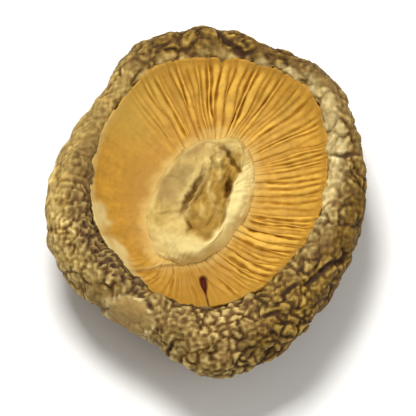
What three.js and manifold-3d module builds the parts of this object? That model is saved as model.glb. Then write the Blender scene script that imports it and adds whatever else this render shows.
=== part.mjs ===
// A dried shiitake mushroom, lying on its crown with its gills up.
//
// It grew as one piece, so it is one solid: a wrinkled cap whose rim rolled in as it dried, a ring
// of gills inside the rim, and the shrivelled stub of the cut stem in the middle of the gills.
// Millimetres, +Z up. The origin is the middle of the small flat spot that the crown rests on.

import * as THREE from "three";
import { ImprovedNoise } from "three/addons/math/ImprovedNoise.js";
import { mergeVertices } from "three/addons/utils/BufferGeometryUtils.js";
import Module from "manifold-3d";

const wasm = await Module();
wasm.setup();

// Outlines in plan, each as its reach from its own middle every 22.5 degrees, from +X towards +Y.
const girth = {
  middle: new THREE.Vector2(0, 0),
  reach: [22.0, 22.9, 24.6, 24.4, 25.5, 25.2, 21.6, 21.0, 22.3, 23.0, 22.0, 22.3, 25.9, 24.7, 22.5, 21.6],
};
const margin = {
  middle: new THREE.Vector2(0.2, 0.6),
  reach: [15.8, 17.4, 19.8, 19.6, 19.1, 19.2, 17.4, 16.6, 16.3, 16.3, 16.3, 17.2, 17.3, 16.1, 15.3, 15.4],
};

// The stub's foot and the crest round its sunken core are ovals that lean to the upper right.
const lean = THREE.MathUtils.degToRad(62);
const foot = { middle: new THREE.Vector2(-1.0, -0.1), halfLength: 10.3, halfWidth: 6.6 };
const crest = { middle: new THREE.Vector2(0.5, -1.0), halfLength: 7.8, halfWidth: 2.9 };

// Heights above the surface that the crown rests on.
const girthLevel = 10.4;
const rimTop = 15.6;
// The rim rises and falls on its way round, in waves that grow from the ground up to the rim.
const rimWaves = [
  { count: 2, turn: 0.6, height: 0.36 },
  { count: 5, turn: -1, height: 0.24 },
];
const bedLevel = 9.4;
const gillLevel = { atFoot: 11.2, atMargin: 14.0, curl: 2.4 };
const crestLevel = 13.9;

// Gills run from the foot (share 0) to the margin (share 1); every other one starts further out.
const gill = {
  count: 80,
  thickness: 0.64,
  root: 0.7,
  sunk: 0.9,
  longFrom: -0.06,
  longSteps: 4,
  shortFrom: 0.46,
  shortSteps: 2,
  shortSlope: 0.8,
  wave: 0.2,
  bow: 0.7,
  uneven: { spacing: 0.22, start: 0.08, edge: 0.16 },
};
const wrinkle = { size: 5.6, depth: 0.9, sharpness: 2.4, middle: 0.6, slice: 3.3 };
const stubLump = { size: 2.2, height: 0.5, slice: 8.1 };
const capColumns = 128;
const stubColumns = 36;

const finishes = {
  skin: { color: 0x7d6743, roughness: 0.9, metalness: 0 },
  gills: { color: 0xc8923c, roughness: 0.75, metalness: 0 },
  flesh: { color: 0xd6b679, roughness: 0.85, metalness: 0 },
};
// How far each finish reaches past its own outline.
const spill = { flesh: 1.02, gills: 0.2, gillsBelowBed: 0.5 };

// A cap station lies a share of the way from one outline to the next, at a level. The section runs
// from the crown underneath, up the side, over the rolled rim, down behind its lip and in across
// the bed that the gills grow from. "wrinkled" is how much of the skin's relief it takes.
const capStations = [
  { from: "crown", to: "girth", share: 0, level: 0, wrinkled: 0 },
  { from: "crown", to: "girth", share: 0.25, level: 0, wrinkled: 0 },
  { from: "crown", to: "girth", share: 0.37, level: 0.4, wrinkled: 0.5 },
  { from: "crown", to: "girth", share: 0.49, level: 1.0, wrinkled: 1 },
  { from: "crown", to: "girth", share: 0.6, level: 1.9, wrinkled: 1 },
  { from: "crown", to: "girth", share: 0.7, level: 3.0, wrinkled: 1 },
  { from: "crown", to: "girth", share: 0.8, level: 4.5, wrinkled: 1 },
  { from: "crown", to: "girth", share: 0.885, level: 6.4, wrinkled: 1 },
  { from: "crown", to: "girth", share: 0.96, level: 8.5, wrinkled: 1 },
  { from: "margin", to: "girth", share: 1, level: girthLevel, wrinkled: 1 },
  { from: "margin", to: "girth", share: 0.99, level: 12.3, wrinkled: 1 },
  { from: "margin", to: "girth", share: 0.87, level: rimTop - 1.5, wrinkled: 1 },
  { from: "margin", to: "girth", share: 0.66, level: rimTop - 0.4, wrinkled: 1 },
  { from: "margin", to: "girth", share: 0.4, level: rimTop, wrinkled: 0.8 },
  { from: "margin", to: "girth", share: 0.15, level: rimTop - 0.4, wrinkled: 0.4 },
  { from: "margin", to: "girth", share: 0, level: rimTop - 1.5, wrinkled: 0 },
  { from: "margin", to: "girth", share: 0.1, level: 12.6, wrinkled: 0 },
  { from: "margin", to: "girth", share: 0.05, level: bedLevel + 1.4, wrinkled: 0 },
  { from: "foot", to: "margin", share: 0.6, level: bedLevel, wrinkled: 0 },
  { from: "core", to: "core", share: 0, level: bedLevel, wrinkled: 0 },
];

const stubStations = [
  { from: "core", to: "foot", share: 0, level: bedLevel - 1.2 },
  { from: "core", to: "foot", share: 0.9, level: bedLevel - 1.2 },
  { from: "foot", to: "crest", share: 0, level: gillLevel.atFoot - 0.4 },
  { from: "foot", to: "crest", share: 0.3, level: gillLevel.atFoot + 1.0 },
  { from: "foot", to: "crest", share: 0.7, level: crestLevel - 0.6 },
  { from: "foot", to: "crest", share: 1, level: crestLevel },
  { from: "core", to: "crest", share: 0.78, level: crestLevel - 1.5 },
  { from: "core", to: "crest", share: 0.45, level: crestLevel - 0.9 },
  { from: "core", to: "crest", share: 0, level: crestLevel - 1.4 },
];

const perlin = new ImprovedNoise();
const lerp = THREE.MathUtils.lerp;
const clamp = THREE.MathUtils.clamp;

// A repeatable draw from -1 to 1.
let drawn = 20;
function draw() {
  drawn = (drawn * 16807) % 2147483647;
  return (2 * drawn) / 2147483647 - 1;
}

// A closed smooth curve through the reaches of an outline.
function reachAt(outline, angle) {
  const count = outline.reach.length;
  const turns = THREE.MathUtils.euclideanModulo(angle / (2 * Math.PI), 1) * count;
  const i = Math.floor(turns);
  const t = turns - i;
  const [a, b, c, d] = [-1, 0, 1, 2].map((k) => outline.reach[(i + k + count) % count]);
  return b + 0.5 * t * (c - a + t * (2 * a - 5 * b + 4 * c - d + t * (3 * (b - c) + d - a)));
}

function outlinePoint(outline, angle) {
  const reach = reachAt(outline, angle);
  return new THREE.Vector2(reach * Math.cos(angle), reach * Math.sin(angle)).add(outline.middle);
}

function ovalPoint(oval, angle) {
  const local = angle - lean;
  return new THREE.Vector2(oval.halfLength * Math.cos(local), oval.halfWidth * Math.sin(local))
    .rotateAround(new THREE.Vector2(), lean)
    .add(oval.middle);
}

const plan = {
  crown: () => new THREE.Vector2(),
  core: () => crest.middle,
  crest: (angle) => ovalPoint(crest, angle),
  foot: (angle) => ovalPoint(foot, angle),
  margin: (angle) => outlinePoint(margin, angle),
  girth: (angle) => outlinePoint(girth, angle),
};

function stationPoint(station, angle) {
  const point = plan[station.from](angle).clone().lerp(plan[station.to](angle), station.share);
  return new THREE.Vector3(point.x, point.y, station.level);
}

// Puffy folds with sharp creases between them: the creases are where the noise changes sign.
function skinRelief(point) {
  const at = point.clone().divideScalar(wrinkle.size);
  const fold = Math.min(1, wrinkle.sharpness * Math.abs(perlin.noise(at.x, at.y, at.z + wrinkle.slice)));
  return wrinkle.depth * (fold - wrinkle.middle);
}

// A round body through a list of stations: a lathe gives the mesh, and place() each point.
function roundBody(stations, columns, place) {
  const profile = stations.map((station, row) => new THREE.Vector2(1, row));
  const geometry = new THREE.LatheGeometry(profile, columns);
  const position = geometry.attributes.position;
  for (let i = 0; i < position.count; i++) {
    const row = i % stations.length;
    const column = Math.floor(i / stations.length) % columns;
    position.setXYZ(i, ...place(row, (2 * Math.PI * column) / columns).toArray());
  }
  return geometry;
}

function capPoint(row, angle) {
  const station = capStations[row];
  const point = stationPoint(station, angle);
  if (station.wrinkled === 0) return point;
  const before = stationPoint(capStations[row - 1], angle);
  const after = stationPoint(capStations[row + 1], angle);
  const out = new THREE.Vector2(Math.cos(angle), Math.sin(angle));
  const run = out.dot(new THREE.Vector2(after.x - before.x, after.y - before.y));
  const rise = after.z - before.z;
  const normal = new THREE.Vector3(out.x * rise, out.y * rise, -run).normalize();
  const grown = clamp(point.z / rimTop, 0, 1) ** 2;
  for (const wave of rimWaves) point.z += grown * wave.height * Math.sin(wave.count * angle + wave.turn);
  point.addScaledVector(normal, station.wrinkled * skinRelief(point));
  point.z = Math.max(point.z, 0);
  return point;
}

function stubPoint(row, angle) {
  const point = stationPoint(stubStations[row], angle);
  if (stubStations[row].level > gillLevel.atFoot) {
    const lump = perlin.noise(point.x / stubLump.size, point.y / stubLump.size, stubLump.slice);
    point.z += stubLump.height * lump;
  }
  return point;
}

// The level of a gill's edge, by its share of the way from the stub's foot to the margin.
function edgeLevel(share) {
  return lerp(gillLevel.atFoot, gillLevel.atMargin, clamp(share, 0, 1) ** gillLevel.curl);
}

// One gill: its side outline, extruded to its thickness, then bent and laid along its own line.
function gillBlade(index) {
  const long = index % 2 === 0;
  const angle = (2 * Math.PI * (index + gill.uneven.spacing * draw())) / gill.count;
  const inner = plan.foot(angle);
  const outer = plan.margin(angle);
  const along = outer.clone().sub(inner);
  const length = along.length();
  along.normalize();
  const start = long ? gill.longFrom : gill.shortFrom + gill.uneven.start * draw();
  const steps = long ? gill.longSteps : gill.shortSteps;
  const side = new THREE.Shape();
  side.moveTo(start * length, bedLevel - gill.root);
  side.lineTo(length + gill.sunk, bedLevel + gill.root);
  for (let step = steps; step >= 0; step--) {
    const share = lerp(start, 1, step / steps);
    const reach = step === steps ? length + gill.sunk : share * length;
    const nick = step === 0 && !long ? -gill.shortSlope : gill.uneven.edge * draw();
    side.lineTo(reach, edgeLevel(share) + nick);
  }
  const blade = new THREE.ExtrudeGeometry(side, { depth: gill.thickness, bevelEnabled: false });
  const bow = gill.bow * draw();
  const wave = gill.wave * draw();
  const position = blade.attributes.position;
  for (let i = 0; i < position.count; i++) {
    const share = clamp(position.getX(i) / length, 0, 1);
    const bend = bow * share * (1 - share) + wave * Math.sin(2 * Math.PI * share);
    const across = position.getZ(i) - gill.thickness / 2 + bend;
    const x = inner.x + along.x * position.getX(i) + along.y * across;
    const y = inner.y + along.y * position.getX(i) - along.x * across;
    position.setXYZ(i, x, y, position.getY(i));
  }
  return blade;
}

function solid(geometry) {
  geometry.deleteAttribute("normal");
  geometry.deleteAttribute("uv");
  const merged = mergeVertices(geometry, 1e-5);
  const corners = merged.index.array;
  const triangles = [];
  for (let i = 0; i < corners.length; i += 3) {
    const [a, b, c] = corners.slice(i, i + 3);
    if (a !== b && b !== c && c !== a) triangles.push(a, b, c);
  }
  return new wasm.Manifold(
    new wasm.Mesh({
      numProp: 3,
      vertProperties: Float32Array.from(merged.attributes.position.array),
      triVerts: Uint32Array.from(triangles),
    }),
  );
}

// Which finish a triangle has, by the middle of it.
function finishAt(middle) {
  const flat = new THREE.Vector2(middle.x, middle.y);
  const fromStub = flat.clone().sub(foot.middle).rotateAround(new THREE.Vector2(), -lean);
  const stubShare = Math.hypot(fromStub.x / foot.halfLength, fromStub.y / foot.halfWidth);
  if (stubShare < spill.flesh && middle.z > bedLevel) return "flesh";
  const fromMargin = flat.sub(margin.middle);
  const reach = reachAt(margin, Math.atan2(fromMargin.y, fromMargin.x));
  const inside = fromMargin.length() < reach + spill.gills && middle.z > bedLevel - spill.gillsBelowBed;
  return inside ? "gills" : "skin";
}

// The solid's triangles, sorted into one group for each finish.
function finishedMesh(body, name) {
  const mesh = body.getMesh();
  const corner = (i) => new THREE.Vector3(...mesh.vertProperties.slice(3 * i, 3 * i + 3));
  const sorted = Object.fromEntries(Object.keys(finishes).map((key) => [key, []]));
  for (let i = 0; i < mesh.triVerts.length; i += 3) {
    const [a, b, c] = mesh.triVerts.slice(i, i + 3);
    const middle = corner(a).add(corner(b)).add(corner(c)).divideScalar(3);
    sorted[finishAt(middle)].push(a, b, c);
  }
  const geometry = new THREE.BufferGeometry();
  geometry.setAttribute("position", new THREE.BufferAttribute(mesh.vertProperties, 3));
  geometry.setIndex(Object.values(sorted).flat());
  let start = 0;
  Object.values(sorted).forEach((corners, material) => {
    geometry.addGroup(start, corners.length, material);
    start += corners.length;
  });
  geometry.computeVertexNormals();
  const materials = Object.values(finishes).map((finish) => new THREE.MeshStandardMaterial(finish));
  const made = new THREE.Mesh(geometry, materials);
  made.name = name;
  return made;
}

const blades = Array.from({ length: gill.count }, (_, index) => solid(gillBlade(index)));
const cap = solid(roundBody(capStations, capColumns, capPoint));
const stub = solid(roundBody(stubStations, stubColumns, stubPoint));
const body = wasm.Manifold.union([cap, stub, ...blades]);

const mushroom = new THREE.Group();
mushroom.add(finishedMesh(body, "mushroom"));

export default mushroom;
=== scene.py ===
# A dried shiitake mushroom that lies on its crown with the gills up.
# The wrinkled cap skin, the gills and the stem stub are modelled here, in millimetres until the
# last step, and together take the place of the plain solid.

import math

import bmesh
import bpy
import numpy as np
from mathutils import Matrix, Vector, noise


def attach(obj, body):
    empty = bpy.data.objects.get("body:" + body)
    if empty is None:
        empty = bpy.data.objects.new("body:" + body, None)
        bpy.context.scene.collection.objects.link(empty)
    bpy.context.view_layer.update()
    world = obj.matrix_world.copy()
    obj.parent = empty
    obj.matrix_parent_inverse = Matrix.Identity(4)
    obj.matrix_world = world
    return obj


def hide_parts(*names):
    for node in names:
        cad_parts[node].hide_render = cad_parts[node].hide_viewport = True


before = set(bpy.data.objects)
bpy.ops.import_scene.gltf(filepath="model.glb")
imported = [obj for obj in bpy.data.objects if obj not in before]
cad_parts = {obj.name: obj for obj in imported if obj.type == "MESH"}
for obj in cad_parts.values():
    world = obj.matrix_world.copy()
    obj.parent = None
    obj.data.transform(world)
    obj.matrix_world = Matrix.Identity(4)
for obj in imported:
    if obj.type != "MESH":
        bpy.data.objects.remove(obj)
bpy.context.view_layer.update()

# The outlines in plan, as reaches every 22.5 degrees from +X towards +Y, and the stub's ovals
form = {
    "girthMiddle": (0.0, 0.0),
    "girthReach": [22.0, 23.0, 24.6, 24.4, 25.5, 25.2, 21.5, 21.0,
                   22.3, 23.0, 22.1, 22.2, 25.9, 24.6, 22.5, 21.6],
    "marginMiddle": (0.2, 0.6),
    "marginReach": [15.8, 17.4, 19.8, 19.6, 19.1, 19.2, 17.4, 16.6,
                    16.3, 16.3, 16.3, 17.2, 17.3, 16.1, 15.3, 15.4],
    "lean": math.radians(62),         # where the stub's long side points
    "foot": (-1.0, -0.1, 10.3, 6.6),  # middle x and y, half length, half width
    "crestMiddle": (0.5, -1.0),
    "crestReach": [8.2, 5.9, 3.7, 2.9, 2.7, 2.9, 3.6, 5.0, 6.4, 6.4, 4.7, 3.2, 2.8, 2.6, 2.9, 4.6],
    "gillAtFoot": 11.2,               # how high the gills' edges are at the stub and at the margin
    "gillAtMargin": 14.5,
    "gillCurl": 2.4,                  # the larger, the later they rise on the way out
}


# A smooth curve through four values, with t at 0 on the second and at 1 on the third
def between(a, b, c, d, t):
    return b + 0.5 * t * (c - a + t * (2 * a - 5 * b + 4 * c - d + t * (3 * (b - c) + d - a)))


def closedCurve(reaches, angle):
    turns = (np.asarray(angle) / (2 * math.pi)) % 1.0 * len(reaches)
    whole = np.floor(turns).astype(int)
    near = [np.take(reaches, whole + k, mode="wrap") for k in (-1, 0, 1, 2)]
    return between(*near, turns - whole)


def outlinePoint(kind, angle):
    reach = closedCurve(form[kind + "Reach"], angle)
    x, y = form[kind + "Middle"]
    return np.stack([x + reach * np.cos(angle), y + reach * np.sin(angle)], 1)


def turned(along, across):
    cosine, sine = math.cos(form["lean"]), math.sin(form["lean"])
    return np.stack([along * cosine - across * sine, along * sine + across * cosine], 1)


# Distances along and across from a middle, on axes turned as the stub is or by another angle
def localPlace(middle, points, turn=form["lean"]):
    dx, dy = points[:, 0] - middle[0], points[:, 1] - middle[1]
    cosine, sine = math.cos(turn), math.sin(turn)
    return dx * cosine + dy * sine, dy * cosine - dx * sine


# 0 in the middle of the foot's oval and 1 on it
def footShareOf(points):
    x, y, halfLength, halfWidth = form["foot"]
    along, across = localPlace((x, y), points)
    return np.hypot(along / halfLength, across / halfWidth)


# 0 in the middle of the crest's outline and 1 on it, with the distances along and across it
def crestShareOf(points):
    along, across = localPlace(form["crestMiddle"], points)
    reach = closedCurve(form["crestReach"], np.arctan2(across, along))
    return np.hypot(along, across) / reach, along, across


# For each point: its step, azimuth and distance from the margin's middle, and the margin's reach
def marginPlace(points):
    step = points[:, :2] - np.array(form["marginMiddle"])
    around = np.arctan2(step[:, 1], step[:, 0]) % (2 * math.pi)
    return step, around, np.hypot(*step.T), closedCurve(form["marginReach"], around)


# Points of an outline, or one middle many times: the crown's or the core's
def planPoint(kind, angle):
    if kind in ("girth", "margin"):
        return outlinePoint(kind, angle)
    local = angle - form["lean"]
    if kind == "foot":
        x, y, halfLength, halfWidth = form["foot"]
        return turned(halfLength * np.cos(local), halfWidth * np.sin(local)) + (x, y)
    if kind == "crest":
        reach = closedCurve(form["crestReach"], local)
        return turned(reach * np.cos(local), reach * np.sin(local)) + form["crestMiddle"]
    middle = form["girthMiddle"] if kind == "crown" else form["crestMiddle"]
    return np.tile(np.array(middle), (len(angle), 1))


# A smooth section through (from, to, share, level) stations, at v from 0 to 1
def sectionPoint(stations, v, angle):
    places = []
    for start, end, share, level in stations:
        flat = planPoint(start, angle) * (1 - share) + planPoint(end, angle) * share
        places.append(np.column_stack([flat, np.full(len(angle), level)]))
    places = np.array(places)
    last = len(stations) - 1
    at = np.clip(v, 0, 1) * last
    whole = np.minimum(np.floor(at).astype(int), last - 1)
    rows = np.arange(len(angle))
    near = [places[np.clip(whole + k, 0, last), rows] for k in (-1, 0, 1, 2)]
    return between(*near, (at - whole)[:, None])


def smoothStep(low, high, value):
    t = np.clip((value - low) / (high - low), 0, 1)
    return t * t * (3 - 2 * t)


def bump(middle, half, value):
    return 1 - smoothStep(0, 1, np.abs(value - middle) / half)


# The same around a circle, by name, for a dictionary of middles and half widths in degrees
def bumpsAround(sides, degrees):
    return {name: bump(0, half, (degrees - middle + 180) % 360 - 180)
            for name, (middle, half) in sides.items()}


# Soft noise from about -1 to 1, for points in millimetres and lumps of a size
def cloud(points, size, shift=0.0):
    offset = Vector((shift, 1.7 * shift, -0.6 * shift))
    return np.array([noise.noise(Vector(p) + offset) for p in points / size])


# Distances in millimetres from the borders and from the middles of uneven cells of a size
def cellPlace(points, size):
    away = np.array([noise.voronoi(Vector(p))[0][:2] for p in points / size])
    return (away[:, 1] - away[:, 0]) * size / 2, away[:, 0] * size


# Distance from a line through points in plan, and how far along it (0 to 1) the nearest place is
def lineDistance(points, line):
    line = np.array(line, float)
    steps = np.hypot(*np.diff(line, axis=0).T)
    before = np.concatenate([[0], np.cumsum(steps)])
    best = np.full(len(points), np.inf)
    along = np.zeros(len(points))
    for k, (a, b) in enumerate(zip(line[:-1], line[1:])):
        t = np.clip(((points[:, :2] - a) @ (b - a)) / steps[k] ** 2, 0, 1)
        away = np.hypot(*(points[:, :2] - a - t[:, None] * (b - a)).T)
        along = np.where(away < best, (before[k] + t * steps[k]) / before[-1], along)
        best = np.minimum(best, away)
    return best, along


def linkedPiece(name, bm):
    mesh = bpy.data.meshes.new(name)
    bm.to_mesh(mesh)
    bm.free()
    piece = bpy.data.objects.new(name, mesh)
    bpy.context.scene.collection.objects.link(piece)
    return piece


# A closed round body: a flat grid whose left and right edges meet, ends drawn to a point
def gridPiece(name, columns, rows, place):
    bm = bmesh.new()
    bmesh.ops.create_grid(bm, x_segments=columns, y_segments=rows, size=1)
    flat = np.array([vert.co[:2] for vert in bm.verts])
    column = np.round((flat[:, 0] + 1) / 2 * columns).astype(int) % columns
    row = np.round((flat[:, 1] + 1) / 2 * rows).astype(int)
    for vert, point in zip(bm.verts, place(column, row)):
        vert.co = point
    bmesh.ops.remove_doubles(bm, verts=bm.verts, dist=0.0005)
    bmesh.ops.recalc_face_normals(bm, faces=bm.faces)
    return linkedPiece(name, bm)


# The same body with even faces of about one size
def remeshed(piece, size):
    modifier = piece.modifiers.new("even", "REMESH")
    modifier.mode = "VOXEL"
    modifier.voxel_size = size
    graph = bpy.context.evaluated_depsgraph_get()
    mesh = bpy.data.meshes.new_from_object(piece.evaluated_get(graph))
    old = piece.data
    piece.modifiers.clear()
    piece.data = mesh
    bpy.data.meshes.remove(old)
    mesh.name = piece.name


def readPoints(mesh):
    points = np.empty(len(mesh.vertices) * 3, np.float32)
    mesh.vertices.foreach_get("co", points)
    normals = np.empty(len(mesh.vertices) * 3, np.float32)
    mesh.vertex_normals.foreach_get("vector", normals)
    return points.reshape(-1, 3).astype(float), normals.reshape(-1, 3).astype(float)


def writePoints(mesh, points):
    mesh.vertices.foreach_set("co", np.ascontiguousarray(points, np.float32).ravel())
    mesh.update()


def storeValues(mesh, zones):
    for name, values in zones.items():
        attribute = mesh.attributes.new(name, "FLOAT", "POINT")
        attribute.data.foreach_set("value", np.ascontiguousarray(values, np.float32))


def meshEdges(mesh):
    edges = np.empty(len(mesh.edges) * 2, np.int32)
    mesh.edges.foreach_get("vertices", edges)
    return edges.reshape(-1, 2)


# Each round lets every point take on half of its neighbours' mean
def spread(values, edges, rounds):
    a, b = edges[:, 0], edges[:, 1]
    count = len(values)
    degree = np.bincount(a, minlength=count) + np.bincount(b, minlength=count)
    for _ in range(rounds):
        total = np.bincount(a, values[b], count) + np.bincount(b, values[a], count)
        values = 0.5 * values + 0.5 * total / np.maximum(degree, 1)
    return values


# Folds and creases as drying skin makes them: near points rise together, far ones apart
def shrivel(mesh, seed, near, far, steps, bias):
    edges = meshEdges(mesh)
    values = np.random.default_rng(seed).uniform(-0.5, 0.5, len(mesh.vertices))
    for _ in range(steps):
        closer = spread(values, edges, near)
        wider = spread(closer, edges, far - near)
        values = np.tanh(7.0 * (closer - wider) + 0.4 * closer + bias)
    return spread(values, edges, 1)


# From millimetres to metres, and onto the part
def finishPiece(piece, material):
    piece.data.transform(((0.001, 0, 0, 0), (0, 0.001, 0, 0), (0, 0, 0.001, 0), (0, 0, 0, 1)))
    piece.data.shade_smooth()
    piece.data.materials.append(material)
    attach(piece, "root")
    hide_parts("mushroom")
    print(piece.name + ":", len(piece.data.polygons), "faces")


# Colour and shading

# An sRGB hex colour as linear red, green, blue and alpha
def linear(code):
    parts = [int(code[i:i + 2], 16) / 255 for i in (1, 3, 5)]
    return tuple(c / 12.92 if c <= 0.04045 else ((c + 0.055) / 1.055) ** 2.4 for c in parts) + (1.0,)


# A shader node; an input is a value, a hex colour or the output of another node
def addNode(tree, kind, inputs=None, stops=(), **settings):
    node = tree.nodes.new("ShaderNode" + kind)
    for name, value in settings.items():
        setattr(node, name, value)
    for name, value in (inputs or {}).items():
        if isinstance(value, bpy.types.NodeSocket):
            tree.links.new(value, node.inputs[name])
        else:
            node.inputs[name].default_value = linear(value) if isinstance(value, str) else value
    for i, (position, code) in enumerate(stops):
        ramp = node.color_ramp.elements
        element = ramp[i] if i < 2 else ramp.new(position)
        element.position = position
        element.color = linear(code)
    return node


# All the surfaces are matt, with a specular level well under the default
def newMaterial(name, roughness):
    material = bpy.data.materials.new(name)
    material.use_nodes = True
    tree = material.node_tree
    shader = tree.nodes["Principled BSDF"]
    shader.inputs["Roughness"].default_value = roughness
    shader.inputs["Specular IOR Level"].default_value = 0.2
    return material, tree, shader


# Lighter and darker in soft lumps, as (millimetres, detail, darkest, lightest)
def mottled(tree, place, colour, lumps):
    for size, detail, darkest, lightest in lumps:
        soft = addNode(tree, "TexNoise", {"Vector": place, "Scale": 1000 / size, "Detail": detail})
        value = addNode(tree, "MapRange", {"Value": soft.outputs["Fac"], "From Min": 0.33, "From Max": 0.67,
                                           "To Min": darkest, "To Max": lightest}).outputs["Result"]
        colour = addNode(tree, "HueSaturation", {"Value": value, "Color": colour}).outputs["Color"]
    return colour


# Zones laid over a colour one after the other, as (zone, strength, colour)
def tinted(tree, zone, colour, tints):
    for name, strength, code in tints:
        share = addNode(tree, "Math", {0: zone[name], 1: strength}, operation="MULTIPLY").outputs[0]
        colour = addNode(tree, "Mix", {0: share, 6: colour, 7: code}, data_type="RGBA").outputs[2]
    return colour


# The last step of each material: its colour and its grain, as (millimetres, detail, strength, height)
def finishMaterial(tree, shader, place, colour, grain):
    size, detail, strength, height = grain
    fine = addNode(tree, "TexNoise", {"Vector": place, "Scale": 1000 / size, "Detail": detail})
    bumped = addNode(tree, "Bump", {"Strength": strength, "Distance": height / 1000,
                                    "Height": fine.outputs["Fac"]})
    tree.links.new(bumped.outputs["Normal"], shader.inputs["Normal"])
    tree.links.new(colour, shader.inputs["Base Color"])


# Cap skin

skin = {
    "columns": 200,
    "rows": 120,
    "rimHeight": 15.6,
    "rimSwing": 0.6,         # mm; the rim waves up and down by about this
    "outside": 0.8,          # share of the section, from the crown to the hollow under the rim
    "foldVoxel": 0.6,        # mm; the broad folds are about nine of these across
    "foldHeight": 0.55,
    "foldGrowth": {"near": 10, "far": 22, "steps": 8, "bias": 0.1},
    "wrinkleVoxel": 0.272,   # mm; the wrinkles are about five of these across
    "wrinkleHeight": 0.1,
    "wrinkleGrowth": {"near": 2, "far": 5, "steps": 3, "bias": 0.0},
    "smoothing": (3, 6),     # rounds, for the points and for the directions that the relief grows in
    "puffSize": (2.6, 1.7),  # mm between creases, on most of the cap and at its front
    "puffHeight": 0.44,
    "puffShoulder": 0.8,     # mm from the bottom of a crease to where the puff is level
    "puffRound": 2.5,        # the larger, the rounder its shoulder
    "faintest": 0.3,         # share of the depth that the faintest creases between puffs have
    "calmed": 0.75,          # and how much of it the calm side loses
    "pitSpacing": 0.9,
    "pitDepth": 0.35,
    "pitRadius": (0.1, 0.34),           # mm, of a pit's floor and of its mouth
    "pitLoss": (0.3, 0.33),  # mm off each radius, and what the pitted zone gives back
    "creaseFade": 0.75,      # the larger, the later a single crease fades towards its ends
    "innerEdge": (-0.16, 0.3, 0.18),    # mm: mean shift of the skin's inner edge, wide and small waves
    "lipWidth": (-0.6, 2.6, 0.9),       # mm: least, how much more at its widest, unevenness
    "lipFade": (-0.3, 1.0),  # mm from that width
    "patch": (-10.7, -18.3, 3.1, 2.0, math.radians(-34)),  # smooth skin: x, y, half length and width, turn
    "patchEdge": (0.85, 1.1),           # shares of its half length and width over which it fades
    "patchBorder": (1.06, 0.2),         # a pale border: middle and half width, as shares too
    # the pale band below is a painted highlight along the lower edge under the front
    "paintedHighlightBand": (7.2, 2.8),  # mm up and half width of a pale band under the front
    # azimuth and half width, in degrees, of the places that differ
    "sides": {
        "lip": (18, 62),
        "left": (182, 58),
        "upperLeft": (131, 34),
        "top": (85, 60),
        "right": (332, 76),
        "lowerRight": (302, 30),
        "pitted": (214, 66),
        # shade: where a painted shadow lies on the rim's inner wall, beyond the gills' margin
        "shade": (235, 100),
        "calm": (158, 58),
        "front": (283, 60),
        "highlightFront": (268, 60),
    },
    # millimetres up where each of these starts and where it is full
    "levels": {
        "rest": (0.0, 1.2),
        "crown": (3.0, 11.5),
        "pale": (5.0, 9.0),
        "patch": (7.5, 12.5),
        "calm": (8.0, 12.0),
        "crease": (9.0, 11.0),
        "top": (12.0, 14.0),
        "innerEdge": (12.0, 13.5),
    },
    "ragged": 0.12,          # unevenness of the borders below, which lie between margin (0) and girth (1)
    "pittedFade": (0.36, 0.56),
    "pittedUmber": (0.7, 0.3, 0.6),     # strength, and where it starts to fade and is gone
    # a side, a strength, and where it starts and is full
    "paleSides": [("left", 1.4, 0.4, 0.75), ("upperLeft", 0.85, 0.0, 0.3)],
    # the darker brown zone is partly painted shade: on the right side it stands in for shadow
    "umberSides": [("top", 1.4, 0.0, 0.36), ("right", 1.5, 0.32, 0.74), ("lowerRight", 0.9, -0.05, 0.12)],
    # how much lower the relief is in each kind of place
    "flatter": {"lip": 0.25, "calm": 0.25, "patch": 0.55, "inner": 0.7, "rest": 0.8},
    # single creases and ridges: a line in plan, half width, and depth (negative) or height
    "creases": [
        ([(1.4, 23.9), (3.2, 21.8), (4.8, 20.0), (6.4, 20.4)], 0.75, -0.6),
        ([(-4.9, -22.2), (-5.9, -23.5)], 0.5, -0.45),
        ([(-8.2, -16.8), (-7.7, -18.0)], 0.5, -0.45),
        ([(0.3, -18.2), (1.6, -18.4), (3.1, -18.1)], 0.9, 0.35),
        ([(16.7, 5.0), (18.2, 4.6), (20.6, 5.0)], 0.5, -0.45),
        ([(-15.5, 14.5), (-17.8, 10.8), (-20.3, 6.8), (-21.3, 2.1), (-21.5, -1.6), (-20.6, -4.5)],
         1.0, 0.35),
        ([(13.2, -14.2), (15.6, -12.2), (17.6, -10.7), (19.8, -8.4)], 0.55, -0.5),
        ([(9.6, -15.8), (12.4, -14.0)], 0.5, -0.4),
        ([(7.2, -18.6), (9.4, -18.2), (10.6, -19.6)], 0.45, -0.4),
    ],
    "seed": 11,
    "contrast": (2.1, 0.6, 0.9),        # of the relief's colours: all over, more if pitted, more in front
    "roughness": 0.75,
    # colours from the bottom of a crease (0) to a crest (1), for plain skin and three zones: painted shade
    # in the creases, and on the crests the skin's own paleness with painted highlight
    "stops": (0.0, 0.25, 0.45, 0.65, 1.0),
    "colours": {
        "plain": ("#432b0f", "#63471b", "#7d6230", "#957a42", "#c6ad6f"),
        "pale": ("#4c3312", "#7d6029", "#9f8345", "#bda15c", "#e8d492"),
        "umberAndShade": ("#281602", "#412a08", "#5b410f", "#71551a", "#a6883f"),
        "lip": ("#6e5931", "#97834d", "#b19b65", "#c8b076", "#ecdfae"),
    },
    "lumps": [(6.0, 2.0, 0.84, 1.14), (0.9, 4.0, 0.78, 1.25)],
    "blotch": (1.6, 3.0, 0.48, 0.68, 0.35, "#7c5a33"),  # mm, detail, noise from and to, strength, colour
    # tints laid over in turn; shade is a painted shadow on the rim's inner wall, and pit is painted shade
    # in the pits and creases
    "tints": [("pitted", 0.3, "#5f4a33"), ("crown", 0.5, "#5c4029"), ("patch", 0.55, "#b89759"),
              ("shade", 0.75, "#3d2a10"), ("pit", 0.85, "#3a2210")],
    "grain": (0.45, 5.0, 0.6, 0.14),    # mm, detail, strength, mm high
}

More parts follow.
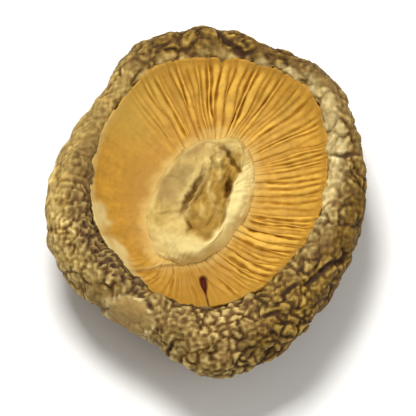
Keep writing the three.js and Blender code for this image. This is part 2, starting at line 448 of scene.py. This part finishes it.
skinStations = [
    ("crown", "girth", 0, 0),
    ("crown", "girth", 0.25, 0),
    ("crown", "girth", 0.37, 0.4),
    ("crown", "girth", 0.49, 1.0),
    ("crown", "girth", 0.6, 1.9),
    ("crown", "girth", 0.7, 3.0),
    ("crown", "girth", 0.8, 4.5),
    ("crown", "girth", 0.885, 6.4),
    ("crown", "girth", 0.96, 8.5),
    ("margin", "girth", 1, 10.4),
    ("margin", "girth", 0.99, 12.3),
    ("margin", "girth", 0.87, 14.1),
    ("margin", "girth", 0.66, 15.2),
    ("margin", "girth", 0.4, skin["rimHeight"]),
    ("margin", "girth", 0.15, 15.2),
    ("margin", "girth", 0, 14.1),
    ("margin", "girth", 0.1, 12.6),
    ("margin", "girth", 0.05, 10.8),
    ("foot", "margin", 0.6, 8.2),
    ("core", "core", 0, 8.2),
]


# The values that the skin's mesh carries for its material
skinValues = ("relief", "pit", "lip", "pale", "pitted", "umberAndShade", "crown", "shade", "patch")


def skinPlace(column, row):
    angle = 2 * math.pi * column / skin["columns"]
    v = row / skin["rows"]
    points = sectionPoint(skinStations, v, angle)
    swing = skin["rimSwing"] * (0.6 * np.sin(2 * angle + 0.6) + 0.4 * np.sin(5 * angle - 1))
    swing *= np.clip(points[:, 2] / skin["rimHeight"], 0, 1) ** 2
    points[:, 2] += np.where(v < skin["outside"], swing, 0)
    return points


def skinLevel(name, points):
    return smoothStep(*skin["levels"][name], points[:, 2])


# How much there is of each kind of place at each point, from 0 to 1
def skinZones(points):
    _, around, reach, marginReach = marginPlace(points)
    beyond = reach - marginReach
    girthReach = closedCurve(form["girthReach"], np.arctan2(points[:, 1], points[:, 0]))
    ring = beyond / (girthReach - marginReach)      # 0 at the gills' margin and 1 at the girth
    ragged = ring + skin["ragged"] * cloud(points, 2.5, 21.0)
    side = bumpsAround(skin["sides"], np.degrees(around))
    top = skinLevel("top", points)

    pale = np.zeros(len(points))
    for name, strength, start, full in skin["paleSides"]:
        pale += np.clip(strength * side[name], 0, 1) * smoothStep(start, full, ragged)
    pale = np.clip(pale, 0, 1) * skinLevel("pale", points)
    # the darker brown zone: the skin's own darker brown, with painted shade on the right side
    strength, start, gone = skin["pittedUmber"]
    umberAndShade = strength * side["pitted"] * (1 - smoothStep(start, gone, ragged)) * top
    for name, strength, start, full in skin["umberSides"]:
        umberAndShade += strength * side[name] * smoothStep(start, full, ragged)

    least, more, uneven = skin["lipWidth"]
    lipWidth = least + more * side["lip"] + uneven * cloud(points, 2.0, 4.0)
    lip = top * (1 - smoothStep(*skin["lipFade"], beyond - lipWidth))
    x, y, halfLength, halfWidth, turn = skin["patch"]
    along, across = localPlace((x, y), points, turn)
    spot = np.hypot(along / halfLength, across / halfWidth)
    spot += 0.26 * cloud(points, 2.0, 9.0) + 0.14 * cloud(points, 0.7, 10.0)
    upper = skinLevel("patch", points)
    return {
        "lip": np.maximum(lip, bump(*skin["patchBorder"], spot) * upper),
        # the pale zone also carries a painted highlight along the lower edge under the front
        "pale": np.maximum(pale, side["highlightFront"] * bump(*skin["paintedHighlightBand"], points[:, 2])),
        "pitted": side["pitted"] * (1 - smoothStep(*skin["pittedFade"], ragged)) * top,
        "umberAndShade": np.clip(umberAndShade, 0, 1),
        "crown": 1 - skinLevel("crown", points),
        # a painted shadow on the rim's inner wall, just beyond the gills' margin
        "shade": np.clip(1.6 * side["shade"], 0, 1) * (1 - smoothStep(0.1, 0.9, beyond)) * top,
        "patch": (1 - smoothStep(*skin["patchEdge"], spot)) * upper,
        "calm": side["calm"] * skinLevel("calm", points),
        "front": np.clip(2 * side["front"] + 0.8 * cloud(points, 3.5, 5.0), 0, 1),
        "inner": 1 - smoothStep(-0.9, -0.2, beyond),
        "rest": 1 - skinLevel("rest", points),
    }


# How high the relief may be: 1 on plain skin and less in the flatter places
def reliefShare(zones):
    share = 1.0
    for name, flatter in skin["flatter"].items():
        share = share * (1 - flatter * zones[name])
    return share


def addFolds(mesh):
    points, normals = readPoints(mesh)
    folds = shrivel(mesh, skin["seed"], **skin["foldGrowth"])
    folds = np.clip(spread(folds, meshEdges(mesh), 3), -1, 1)
    folds = 0.5 * folds - 0.2 * folds ** 2 + 0.4 * cloud(points, 7.0, 1.0) - 0.2
    height = skin["foldHeight"] * reliefShare(skinZones(points)) * folds
    writePoints(mesh, points + normals * height[:, None])


# The skin meets the gills along an uneven line
def shiftInnerEdge(points):
    step, _, reach, marginReach = marginPlace(points)
    mean, wide, small = skin["innerEdge"]
    shift = wide * cloud(points, 2.4, 90.0) + small * cloud(points, 0.9, 91.0) + mean
    shift *= bump(0, 1.8, reach - marginReach)
    shift *= skinLevel("innerEdge", points)
    points[:, :2] += step / np.maximum(reach, 1)[:, None] * shift[:, None]


# Puffs between a net of creases: 1 on a puff and less in a crease
def puffShare(points, warp, zones):
    (coarse, _), (fine, _) = (cellPlace(points + 0.9 * warp, size) for size in skin["puffSize"])
    border = coarse * (1 - zones["front"]) + fine * zones["front"]
    level = 1 - (1 - np.clip(border / skin["puffShoulder"], 0, 1)) ** skin["puffRound"]
    strength = skin["faintest"] + (1 - skin["faintest"]) * smoothStep(-0.35, 0.2, cloud(points, 3.2, 2.0))
    return 1 - (1 - level) * (strength * (1 - skin["calmed"] * zones["calm"]))


# 1 on the floor of a pit; they are dense in the pitted zone and rare elsewhere
def pitShare(points, warp, zones):
    _, away = cellPlace(points + 0.5 * warp, skin["pitSpacing"])
    loss, back = skin["pitLoss"]
    away = away + 0.22 * cloud(points, 1.3, 12.0) + loss - back * zones["pitted"]
    return 1 - smoothStep(*skin["pitRadius"], away)


def creaseHeight(points, warp):
    height = np.zeros(len(points))
    for line, half, rise in skin["creases"]:
        away, share = lineDistance(points[:, :2] + 0.4 * warp[:, :2], line)
        mark = rise * bump(0, half, away) * bump(0.5, skin["creaseFade"], share)
        mark *= skinLevel("crease", points)
        height = np.where(np.abs(mark) > np.abs(height), mark, height)
    return height


def makeSkin():
    piece = gridPiece("cap_skin", skin["columns"], skin["rows"], skinPlace)
    remeshed(piece, skin["foldVoxel"])
    addFolds(piece.data)
    remeshed(piece, skin["wrinkleVoxel"])
    mesh = piece.data
    points, normals = readPoints(mesh)
    edges = meshEdges(mesh)
    points, normals = (np.stack([spread(values[:, k], edges, rounds) for k in range(3)], 1)
                       for values, rounds in zip((points, normals), skin["smoothing"]))
    normals /= np.linalg.norm(normals, axis=1)[:, None]
    shiftInnerEdge(points)

    zones = skinZones(points)
    relief = reliefShare(zones)
    warp = np.column_stack([cloud(points, 1.9, shift) for shift in (30.0, 33.0, 36.0)])
    fine = shrivel(mesh, skin["seed"] + 1, **skin["wrinkleGrowth"])
    fine *= (0.7 + 0.6 * cloud(points, 4.5, 18.0)) * (1 + 1.5 * zones["pitted"])
    pits = pitShare(points, warp, zones)
    puffs = (puffShare(points, warp, zones) - 0.8) * (1 + 0.6 * cloud(points, 1.8, 51.0))
    crease = creaseHeight(points, warp)
    height = skin["wrinkleHeight"] * fine + skin["puffHeight"] * puffs
    height = relief * (height - skin["pitDepth"] * pits) + crease
    points = points + normals * height[:, None]
    points[:, 2] = np.maximum(points[:, 2], 0)
    writePoints(mesh, points)

    allOver, pitted, front = skin["contrast"]
    contrast = allOver + pitted * zones["pitted"] + front * zones["front"]
    # relief: light on crests and dark in creases, from the height around each point: a painted highlight
    # and painted shade
    above = 1.5 * height - spread(height, edges, 10) - 0.5 * spread(height, edges, 62)
    zones["relief"] = np.clip(0.5 + above * contrast, 0, 1)
    # pit: painted shade in the pits and along the single creases
    zones["pit"] = np.clip(pits * relief * 1.3 - 2.0 * crease, 0, 1)
    storeValues(mesh, {name: zones[name] for name in skinValues})
    finishPiece(piece, skinMaterial())


def skinMaterial():
    # dried mushroom cap: a leathery, matt, khaki-brown skin, pale on crests with painted highlight, dark in
    # creases with painted shade
    material, tree, shader = newMaterial("driedCapSkin", skin["roughness"])
    place = addNode(tree, "TexCoord").outputs["Object"]
    zone = {name: addNode(tree, "Attribute", attribute_name=name).outputs["Fac"] for name in skinValues}
    tones = {name: addNode(tree, "ValToRGB", {"Fac": zone["relief"]}, zip(skin["stops"], codes))
             for name, codes in skin["colours"].items()}
    colour = tones.pop("plain").outputs["Color"]
    for name, tone in tones.items():
        toned = {0: zone[name], 6: colour, 7: tone.outputs["Color"]}
        colour = addNode(tree, "Mix", toned, data_type="RGBA").outputs[2]
    colour = mottled(tree, place, colour, skin["lumps"])
    size, detail, low, high, strength, code = skin["blotch"]
    soft = addNode(tree, "TexNoise", {"Vector": place, "Scale": 1000 / size, "Detail": detail})
    share = addNode(tree, "MapRange", {"Value": soft.outputs["Fac"], "From Min": low, "From Max": high,
                                       "To Max": strength}).outputs["Result"]
    colour = addNode(tree, "Mix", {0: share, 6: colour, 7: code}, data_type="RGBA").outputs[2]
    colour = tinted(tree, zone, colour, skin["tints"])
    finishMaterial(tree, shader, place, colour, skin["grain"])
    return material


# Gills

gills = {
    "count": 120,
    "across": [0.0, 0.07, 0.17, 0.33, 0.5, 0.67, 0.83, 0.93],  # where a gill's lines run
    "rows": 92,
    "floor": 8.6,          # mm up, where they grow from the cap
    "innerEnd": -0.06,     # share of the way out from the stub's foot (0) to the margin (1)
    "outerEnd": 1.1,       # so the ends are sunk in the rim
    "dropFrom": 1.022,     # the edges go down steeply from here out
    "drop": 35,            # mm for a whole share
    # what the seeded draws choose from
    "width": (0.6, 1.5),           # against each other
    "shortEvery": 0.42,            # share of the gills that start part of the way out
    "shortStart": (0.25, 0.75),    # shares of the way out
    "wideEvery": 0.46,             # share of the slits that stand open
    "wideOpen": (0.6, 1.15),       # 1 is a whole slit
    "narrowOpen": (0.03, 0.24),
    "slitStart": (-0.05, 0.4),     # shares of the way out
    "slitEnd": (0.88, 1.3),
    "level": (-0.14, 0.14),        # of whole gills, up or down
    "depth": 0.55,         # mm, of a whole slit
    "gap": 0.22,           # mm, half of its width
    # how open the slits are every 22.5 degrees from +X towards +Y
    "slit": [0.42, 0.42, 0.52, 0.75, 0.9, 0.55, 0.1, 0.0, 0.0, 0.0, 0.12, 0.45, 0.55, 0.7, 0.75, 0.55],
    "sway": (0.03, 0.012, 0.004),  # radians: slow, quicker in open gills, and a fine tremble
    "sag": (285, 95, 0.55),        # the outer ends lie lower here: azimuth, half width, mm
    "split": [(-0.7, -11.9), (-0.5, -13.3), (-0.2, -15.0), (0.1, -16.8)],
    "splitHalf": (0.68, 0.17),     # mm, half width at its two ends
    "splitDepth": 0.9,             # mm
    "fold": [(-10.8, -11.8), (-9.2, -11.0), (-6.5, -9.9), (-3.4, -9.6)],  # the left gills lap over it
    "foldStep": 0.45,              # mm
    # azimuth and half width, in degrees, of the places that differ
    "sides": {"straw": (133, 34), "amber": (168, 48), "rim": (180, 60), "bottom": (262, 44)},
    "flecks": [(196, 11), (216, 14)],  # pale ones at the margin
    "thinFleck": (226, 16),
    "seed": 5,
    "roughness": 0.6,
    # from a gill's edge to a slit: a painted highlight on the edges and painted shade in the slits
    "stops": [(0.1, "#d9a943"), (0.35, "#af802a"), (0.55, "#9c6a17"), (1.0, "#88540b")],  # edge to slit
    "lumps": [(4.0, 3.0, 0.9, 1.1), (0.7, 4.0, 0.9, 1.1)],
    "streaks": (0.88, 1.12),       # darkest and lightest
    # the split's dark tint is painted shade down its walls
    "tints": [("straw", 0.6, "#b89440"), ("amber", 0.75, "#a37526"), ("nearStub", 0.7, "#ccab5e"),
              ("fleck", 0.8, "#cdb97c"), ("paintedSplitShade", 0.97, "#4a0d0c")],
    "grain": (0.5, 4.0, 0.4, 0.1),
}


# The seeded draws: each gill's width and start, each slit's openness and span
def gillFigures():
    rng = np.random.default_rng(gills["seed"])
    count = gills["count"]
    figures = {"width": rng.uniform(*gills["width"], count)}
    short = rng.uniform(0, 1, count) < gills["shortEvery"]
    short &= ~np.roll(short, 1)
    figures["start"] = np.where(short, rng.uniform(*gills["shortStart"], count), -1.0)
    wide = rng.uniform(0, 1, count) < gills["wideEvery"]
    wideOpen = rng.uniform(*gills["wideOpen"], count)
    figures["open"] = np.where(wide, wideOpen, rng.uniform(*gills["narrowOpen"], count))
    figures["from"] = rng.uniform(*gills["slitStart"], count)
    figures["to"] = rng.uniform(*gills["slitEnd"], count)
    figures["level"] = rng.uniform(*gills["level"], count)
    figures["phase"] = rng.uniform(0, 2 * math.pi, count)
    return figures


# How open a slit is at s, the share of the way out: it starts and ends, and swells like beads
def slitOpening(figures, slit, s):
    window = smoothStep(0, 0.2, s - figures["from"][slit])
    window *= 1 - smoothStep(-0.1, 0.1, s - figures["to"][slit])
    swell = np.sin(14 * s + 3 * figures["phase"][slit]) + 0.7 * np.sin(31 * s + slit)
    return figures["open"][slit] * window * np.clip(0.8 + (0.4 - 0.2 * s) * swell, 0.05, 1.25)


# The height of the gills' edges, which curl up towards the rim and go down steeply inside it
def edgeHeight(s, angle, phase):
    rise = form["gillAtMargin"] - form["gillAtFoot"]
    out = np.clip(s, 0, 1)
    end = gills["dropFrom"] + 0.012 * np.sin(phase) + 0.012 * np.sin(7 * angle) * np.sin(19 * angle + 1)
    middle, half, sag = gills["sag"]
    sag *= bump(math.radians(middle), math.radians(half), angle % (2 * math.pi))
    curled = form["gillAtFoot"] + rise * out ** form["gillCurl"]
    return curled - gills["drop"] * np.maximum(s - end, 0) - sag * out ** 4


def gillPlace(figures):
    count, across, rows = gills["count"], np.array(gills["across"]), gills["rows"]
    inward = np.linspace(0, 1, rows - 2)            # rows 2 and up are the gills' edges
    share = gills["outerEnd"] * (1 - inward) + gills["innerEnd"] * inward
    grown = smoothStep(-0.2, 0.2, share[:, None] - figures["start"][None, :])
    width = figures["width"] / figures["width"].sum() * 2 * math.pi
    lost = 0.93 * (1 - grown) * width               # a short gill's neighbours take up its width
    ends = np.cumsum(width) - 0.5 * lost + 0.5 * np.roll(lost, -1, 1)
    starts = np.cumsum(width) - width + 0.5 * lost - 0.5 * np.roll(lost, 1, 1)
    slow, quick, tremble = gills["sway"]

    def place(column, row):
        gill, step = column // len(across), column % len(across)
        t = across[step]
        r = np.clip(row - 2, 0, rows - 3)
        s = share[r]
        span = (ends - starts)[r, gill]
        angle = starts[r, gill] + t * span
        openness = np.maximum(closedCurve(gills["slit"], angle), 0)
        sway = slow * np.sin(2.2 * s + 2 * np.sin(2 * angle)) + quick * openness * np.sin(8 * s + 7 * angle)
        angle = angle + sway + tremble * np.sin(9 * s + 40 * angle)
        flat = planPoint("foot", angle) * (1 - s)[:, None] + planPoint("margin", angle) * s[:, None]
        slit = np.where(t < 0.5, gill, (gill + 1) % count)
        away = np.minimum(t, 1 - t) * span * np.hypot(flat[:, 0], flat[:, 1])
        opened = openness * slitOpening(figures, slit, s)
        depth = gills["depth"] * opened
        down = depth * (1 - smoothStep(0, 1, away / (2 * gills["gap"] * (0.5 + 0.7 * opened))))
        stunted = (1 - grown[r, gill]) * depth
        phase = figures["phase"][gill]
        uneven = 0.1 * np.sin(7 * s + phase) + 0.05 * np.sin(23 * s + 2 * phase)
        level = edgeHeight(s, angle, phase) + openness * (1.3 * figures["level"][gill] + uneven)
        rounded = 0.12 * openness * (2 * t - 1) ** 2
        points = np.column_stack([flat, level - np.maximum(down, stunted) - rounded])
        points[row == 1, 2] = gills["floor"]
        points[row == 0] = (*form["crestMiddle"], gills["floor"])
        points[row == rows] = (*form["crestMiddle"], form["gillAtFoot"] - 0.3)
        return points

    return place


# A dark split that is widest at its inner end: 1 along its middle
def splitShare(points):
    away, share = lineDistance(points, gills["split"])
    inner, outer = gills["splitHalf"]
    half = outer + (inner - outer) * (1 - smoothStep(0.1, 0.6, share))
    return bump(0, half, away) * (1 - 0.6 * smoothStep(0.2, 0.7, share))


# The fold at the lower left: how near it is, how far above it in plan, and 1 on its middle part
def foldPlace(points):
    away, share = lineDistance(points, gills["fold"])
    above = points[:, 1] - np.interp(points[:, 0], *zip(*gills["fold"]))
    return bump(0, 2.2, away), above, bump(0.5, 0.62, share)


def gillZones(points, hollow, split, above, foldEnds):
    _, around, reach, marginReach = marginPlace(points)
    degrees = np.degrees(around)
    side = bumpsAround(gills["sides"], degrees)
    ring = reach / marginReach
    ragged = ring + 0.05 * cloud(points, 1.2, 4.0)
    within = 1 - smoothStep(0.93, 0.98, ring)
    nearStub = footShareOf(points) + 0.09 * cloud(points, 1.3) + 0.03 * cloud(points, 0.5, 3.0)
    streaks = np.column_stack([np.cos(around), np.sin(around), 0.12 * ring])
    blot = degrees + 5 * cloud(points, 1.5, 14.0)
    fleck = np.max([bump(middle, half, blot) for middle, half in gills["flecks"]], axis=0)
    fleck = 1.2 * fleck * smoothStep(0.84, 0.95, ragged)
    fleck += 0.7 * bump(*gills["thinFleck"], blot) * smoothStep(0.92, 0.98, ragged)
    fleck += 0.5 * bump(0.15, 0.4, above) * foldEnds
    fleck += 0.5 * side["rim"] * smoothStep(0.95, 0.985, ring)
    shadowUnderFold = bump(-0.4, 0.5, above) * foldEnds
    return {
        "nearStub": 1 - smoothStep(0.95, 1.22, nearStub),
        "streak": 0.6 * cloud(streaks, 1 / 9, 2.0) + 0.5 * cloud(streaks, 1 / 26, 4.0),
        # painted shade where the surface lies below its neighbours and under the fold, and a painted
        # highlight where it lies above
        "slit": np.clip(0.35 + 2 * within * hollow + 0.4 * shadowUnderFold, 0, 1),
        "fleck": np.clip(fleck, 0, 1),
        "straw": side["straw"] * smoothStep(0.5, 0.9, ragged) + 0.6 * side["bottom"],
        "amber": side["amber"] * bump(0.55, 0.32, ragged) + 1.2 * side["bottom"],
        # painted shade down the split's walls
        "paintedSplitShade": np.clip(1.7 * split, 0, 1) ** 0.6,
    }


def makeGills():
    columns = gills["count"] * len(gills["across"])
    piece = gridPiece("gills", columns, gills["rows"], gillPlace(gillFigures()))
    mesh = piece.data
    points, _ = readPoints(mesh)
    hollow = spread(points[:, 2], meshEdges(mesh), 40) - points[:, 2]
    split = splitShare(points)
    foldNear, above, foldEnds = foldPlace(points)
    storeValues(mesh, gillZones(points, hollow, split, above, foldEnds))
    lift = 0.04 * cloud(points * (1, 1, 0.3), 0.9, 3.0) + 0.12 * cloud(points, 3.5, 7.0)
    lift -= gills["splitDepth"] * split
    lift += gills["foldStep"] * (smoothStep(-0.25, 0.25, above) - 0.3) * foldNear
    points[:, 2] += lift * (points[:, 2] > gills["floor"] + 0.05)
    writePoints(mesh, points)
    finishPiece(piece, gillMaterial())


def gillMaterial():
    # dried gill tissue: papery and matt, orange with a painted highlight on the gills' edges, painted shade
    # between them, under the fold and in the split
    material, tree, shader = newMaterial("driedGillTissue", gills["roughness"])
    place = addNode(tree, "TexCoord").outputs["Object"]
    zone = {name: addNode(tree, "Attribute", attribute_name=name).outputs["Fac"]
            for name in ("slit", "streak", "nearStub", "fleck", "straw", "amber", "paintedSplitShade")}
    colour = addNode(tree, "ValToRGB", {"Fac": zone["slit"]}, gills["stops"]).outputs["Color"]
    colour = mottled(tree, place, colour, gills["lumps"])
    darkest, lightest = gills["streaks"]
    value = addNode(tree, "MapRange", {"Value": zone["streak"], "From Min": -0.6, "From Max": 0.6,
                                       "To Min": darkest, "To Max": lightest}).outputs["Result"]
    colour = addNode(tree, "HueSaturation", {"Value": value, "Color": colour}).outputs["Color"]
    colour = tinted(tree, zone, colour, gills["tints"])
    finishMaterial(tree, shader, place, colour, gills["grain"])
    return material


# Stem stub

stub = {
    "columns": 400,
    "rows": 170,
    # millimetres high: fibres outside, ruffles all over, crinkles in the torn core, and crumbs
    "fibre": 0.16,
    "ruffle": 0.2,
    "crinkle": 0.9,
    "crumb": 0.35,
    "sunk": 0.6,           # mm; how far the torn core lies below the crest
    # lines in plan, half width and depth (negative) or height
    "lines": [
        ([(-0.5, 3.3), (-0.8, 2.6), (-1.9, 0.6), (-3.2, -2.0), (-4.0, -3.5)], 0.62, -0.9),
        ([(-3.1, -3.2), (-2.4, -4.8), (-3.0, -6.2)], 0.4, -0.75),
        ([(-7.2, -2.6), (-5.6, -2.9), (-3.9, -2.8)], 0.4, -0.26),
        ([(-6.2, 3.2), (-5.1, 3.1), (-3.9, 2.5)], 0.4, -0.22),
        ([(2.9, 3.4), (2.8, 2.2), (2.9, 0.8), (2.6, -0.9)], 0.75, -1.3),
        ([(2.4, -2.0), (2.2, -3.6), (1.5, -5.7)], 0.35, -0.3),
        ([(1.4, 7.9), (2.2, 6.7), (3.1, 5.5), (4.0, 4.1), (4.7, 2.9)], 0.42, -0.75),
        ([(0.9, 6.0), (0.5, 5.2), (0.6, 4.2)], 0.3, -0.45),
        ([(0.3, 7.4), (-0.5, 5.5), (-1.4, 3.4), (-2.8, 1.0), (-4.0, -1.6), (-4.7, -3.4)], 0.9, 0.4),
        ([(-0.2, 5.4), (0.0, 3.0), (0.1, 1.0), (0.6, -1.2), (1.3, -3.0)], 0.8, 0.3),
        ([(-1.0, -0.8), (-0.8, -2.2), (-0.6, -3.8)], 0.7, 0.22),
        ([(1.4, 5.2), (1.7, 3.6), (1.3, 1.8)], 0.7, 0.35),
    ],
    # x, y and radius of crumbs at the torn end
    "crumbs": [(2.4, 8.4, 1.0), (3.3, 7.2, 0.8), (5.2, 5.9, 1.1), (4.6, 4.8, 0.7), (1.3, 6.6, 0.8),
               (0.3, 7.3, 0.9), (1.4, 4.6, 0.8), (-0.1, 4.8, 0.9), (4.2, 6.8, 0.7)],
    "roughness": 0.7,
    "flesh": [(0.35, "#b5984f"), (0.65, "#cfb26a")],
    "core": [(0.35, "#8c6722"), (0.65, "#b08a3c")],
    "fleshLumps": (1.4, 4.0),      # mm, detail
    # painted shade on the stub's left flank, and painted light on its right flank and lower end
    "paintedSideShading": [("leftSide", 0.85, "#987b47"), ("rightSide", 0.8, "#ead693")],
    # groove is painted shade in the grooves and the crinkles' hollows; edge is a pale border round the foot
    # with a painted highlight on the ridges and crumbs
    "markTints": [("edge", 0.75, "#e0c579"), ("groove", 1.0, "#6c4a10")],
    "grain": (0.4, 4.0, 0.4, 0.1),
}

stubStations = [
    ("core", "foot", 0, 8.4),
    ("core", "foot", 0.94, 8.4),
    ("foot", "crest", -0.02, 10.6),
    ("foot", "crest", 0.04, 11.4),
    ("foot", "crest", 0.22, 12.3),
    ("foot", "crest", 0.5, 13.2),
    ("foot", "crest", 0.8, 13.5),
    ("foot", "crest", 1, 13.6),
    ("core", "crest", 0.85, 13.6),
    ("core", "crest", 0.65, 13.5),
    ("core", "crest", 0.35, 13.5),
    ("core", "crest", 0, 13.5),
]


def stubPlace(column, row):
    angle = 2 * math.pi * column / stub["columns"]
    return sectionPoint(stubStations, row / stub["rows"], angle)


# How deep the grooves, how high the ridges and how much of a crumb there is at each point
def stubMarks(points):
    wander = np.column_stack([cloud(points, 0.9, 30.0) + 0.3 * cloud(points, 0.4, 31.0),
                              cloud(points, 0.9, 40.0)])
    wander = points[:, :2] + 0.35 * wander
    uneven = 0.9 + 0.4 * cloud(points, 1.2, 50.0)
    marks = {"groove": np.zeros(len(points)), "ridge": np.zeros(len(points))}
    for line, half, height in stub["lines"]:
        away, share = lineDistance(wander, line)
        kind = "groove" if height < 0 else "ridge"
        swell = abs(height) * (bump(0.5, 0.7, share) * uneven) * bump(0, half, away)
        marks[kind] = np.maximum(marks[kind], swell)
    crumbs = [bump(0, radius, np.hypot(wander[:, 0] - x, wander[:, 1] - y))
              for x, y, radius in stub["crumbs"]]
    return marks["groove"], marks["ridge"], np.max(crumbs, axis=0)


def makeStub():
    piece = gridPiece("stem_stub", stub["columns"], stub["rows"], stubPlace)
    mesh = piece.data
    points, _ = readPoints(mesh)
    crestShare, along, across = crestShareOf(points)
    footShare = footShareOf(points)
    inside = 1 - smoothStep(0.7, 1.05, crestShare + 0.2 * cloud(points, 1.5, 6.0))
    groove, ridge, crumbs = stubMarks(points)

    # the core is crinkled and torn, the outside has fibres that run up it
    crinkle = np.abs(cloud(np.column_stack([along / 3.0, across, points[:, 2] / 3]), 1.0, 5.0)) - 0.25
    ruffle = stub["ruffle"] * (cloud(points, 1.6, 8.0) + 0.6 * cloud(points, 0.7, 18.0))
    turn = np.arctan2(across / 2.9, along / 7.8)
    fibre = cloud(np.column_stack([turn * 9, crestShare, points[:, 2] / 3]), 0.6, 2.0)
    sunk = stub["sunk"] * smoothStep(-7.5, -1.5, along)
    lift = inside * (stub["crinkle"] * crinkle + 1.5 * ruffle - sunk)
    lift += (1 - inside) * (stub["fibre"] * fibre + ruffle)
    lift += stub["crumb"] * crumbs + ridge - groove
    points[:, 2] += lift * smoothStep(9.5, 11.0, points[:, 2])
    worn = bump(1.0, 0.5, crestShare) * (1 - smoothStep(-2.5, 1.0, along))
    points[:, 2] += worn * (spread(points[:, 2], meshEdges(mesh), 30) - points[:, 2])
    outward = points[:, :2] - np.array(form["foot"][:2])
    outward *= (0.05 * cloud(points, 2.8, 60.0) + 0.012 * cloud(points, 1.1, 61.0))[:, None]
    points[:, :2] += outward * smoothStep(0.6, 0.9, footShare)[:, None]
    writePoints(mesh, points)

    # painted shade on the left flank, and painted light on the right flank and the lower end
    leftSide = smoothStep(0.0, 2.4, across) * smoothStep(-5.5, -1.0, along) * (1 - inside)
    rightSide = smoothStep(0.5, 2.2, -across) * (1 - smoothStep(6.5, 9.0, along))
    lowEnd = 0.6 * (1 - smoothStep(-7.6, -4.8, along + 0.3 * across))
    border = (0.4 + 0.8 * cloud(points, 2.2, 80.0)) * bump(0.93, 0.12, footShare)
    storeValues(mesh, {
        # painted shade in grooves and crinkle hollows, and a pale border with painted highlight on ridges
        # and crumbs
        "groove": np.clip(groove * 1.5 + inside * np.clip(-crinkle, 0, 0.25), 0, 1),
        "inside": inside * (1 - 0.6 * crumbs) * np.clip(1 - 1.2 * ridge, 0, 1),
        "leftSide": np.clip(leftSide * (0.85 + 0.8 * cloud(points, 2.0, 70.0)), 0, 1),
        "rightSide": np.maximum(rightSide, lowEnd) * (1 - inside),
        "edge": np.clip(border + 2.0 * ridge + 0.6 * crumbs, 0, 1),
    })
    finishPiece(piece, fleshMaterial())


def fleshMaterial():
    # dried stem flesh: fibrous and matt, cream outside, tan and torn in the sunken core, with painted shade
    # on the left flank and in the grooves, and painted light on the right flank and the ridges
    material, tree, shader = newMaterial("driedStemFlesh", stub["roughness"])
    place = addNode(tree, "TexCoord").outputs["Object"]
    zone = {name: addNode(tree, "Attribute", attribute_name=name).outputs["Fac"]
            for name in ("groove", "inside", "leftSide", "rightSide", "edge")}
    size, detail = stub["fleshLumps"]
    soft = addNode(tree, "TexNoise", {"Vector": place, "Scale": 1000 / size, "Detail": detail})
    flesh, core = (addNode(tree, "ValToRGB", {"Fac": soft.outputs["Fac"]}, stub[name]).outputs["Color"]
                   for name in ("flesh", "core"))
    colour = tinted(tree, zone, flesh, stub["paintedSideShading"])
    colour = addNode(tree, "Mix", {0: zone["inside"], 6: colour, 7: core}, data_type="RGBA").outputs[2]
    colour = tinted(tree, zone, colour, stub["markTints"])
    finishMaterial(tree, shader, place, colour, stub["grain"])
    return material


# Floor, camera and light

# Lengths in metres, except the camera's sensor
studio = {
    "elevation": math.radians(68),
    "distance": 0.62,
    "frameWidth": 0.0575,      # across the picture at the mushroom
    "aim": (0.0, -0.0006, 0.0095),
    "sensor": 36,              # mm
    "floor": 0.6,
    "floorColour": "#f4f3f0",
    "skyColour": "#f7f5f2",
    "skyStrength": 0.38,
    # name, place, size and power in watts
    "lights": [("key", (-0.06, 0.15, 0.41), 0.14, 1.9), ("fill", (0.22, -0.15, 0.3), 0.3, 0.35)],
}


def makeStudio():
    bm = bmesh.new()
    bmesh.ops.create_grid(bm, x_segments=1, y_segments=1, size=studio["floor"])
    floor = linkedPiece("floor", bm)
    material, _, shader = newMaterial("paleFloor", 0.9)
    shader.inputs["Base Color"].default_value = linear(studio["floorColour"])
    floor.data.materials.append(material)

    aim = Vector(studio["aim"])
    back = Vector((0, -math.cos(studio["elevation"]), math.sin(studio["elevation"])))
    camera = bpy.data.objects.new("camera", bpy.data.cameras.new("camera"))
    camera.location = aim + back * studio["distance"]
    camera.rotation_euler = back.to_track_quat("Z", "Y").to_euler()
    camera.data.sensor_width = studio["sensor"]
    camera.data.lens = studio["sensor"] * studio["distance"] / studio["frameWidth"]
    camera.data.clip_start = 0.01
    bpy.context.scene.collection.objects.link(camera)
    bpy.context.scene.camera = camera

    world = bpy.data.worlds.new("studio")
    world.use_nodes = True
    sky = world.node_tree.nodes["Background"]
    sky.inputs["Color"].default_value = linear(studio["skyColour"])
    sky.inputs["Strength"].default_value = studio["skyStrength"]
    bpy.context.scene.world = world
    for name, place, size, power in studio["lights"]:
        light = bpy.data.objects.new(name, bpy.data.lights.new(name, "AREA"))
        light.data.size = size
        light.data.energy = power
        light.location = place
        light.rotation_euler = (Vector(place) - aim).to_track_quat("Z", "Y").to_euler()
        bpy.context.scene.collection.objects.link(light)
    bpy.context.scene.view_settings.view_transform = "Standard"
    print("studio: floor, camera, sky and", len(studio["lights"]), "lights")


makeStudio()
makeSkin()
makeGills()
makeStub()
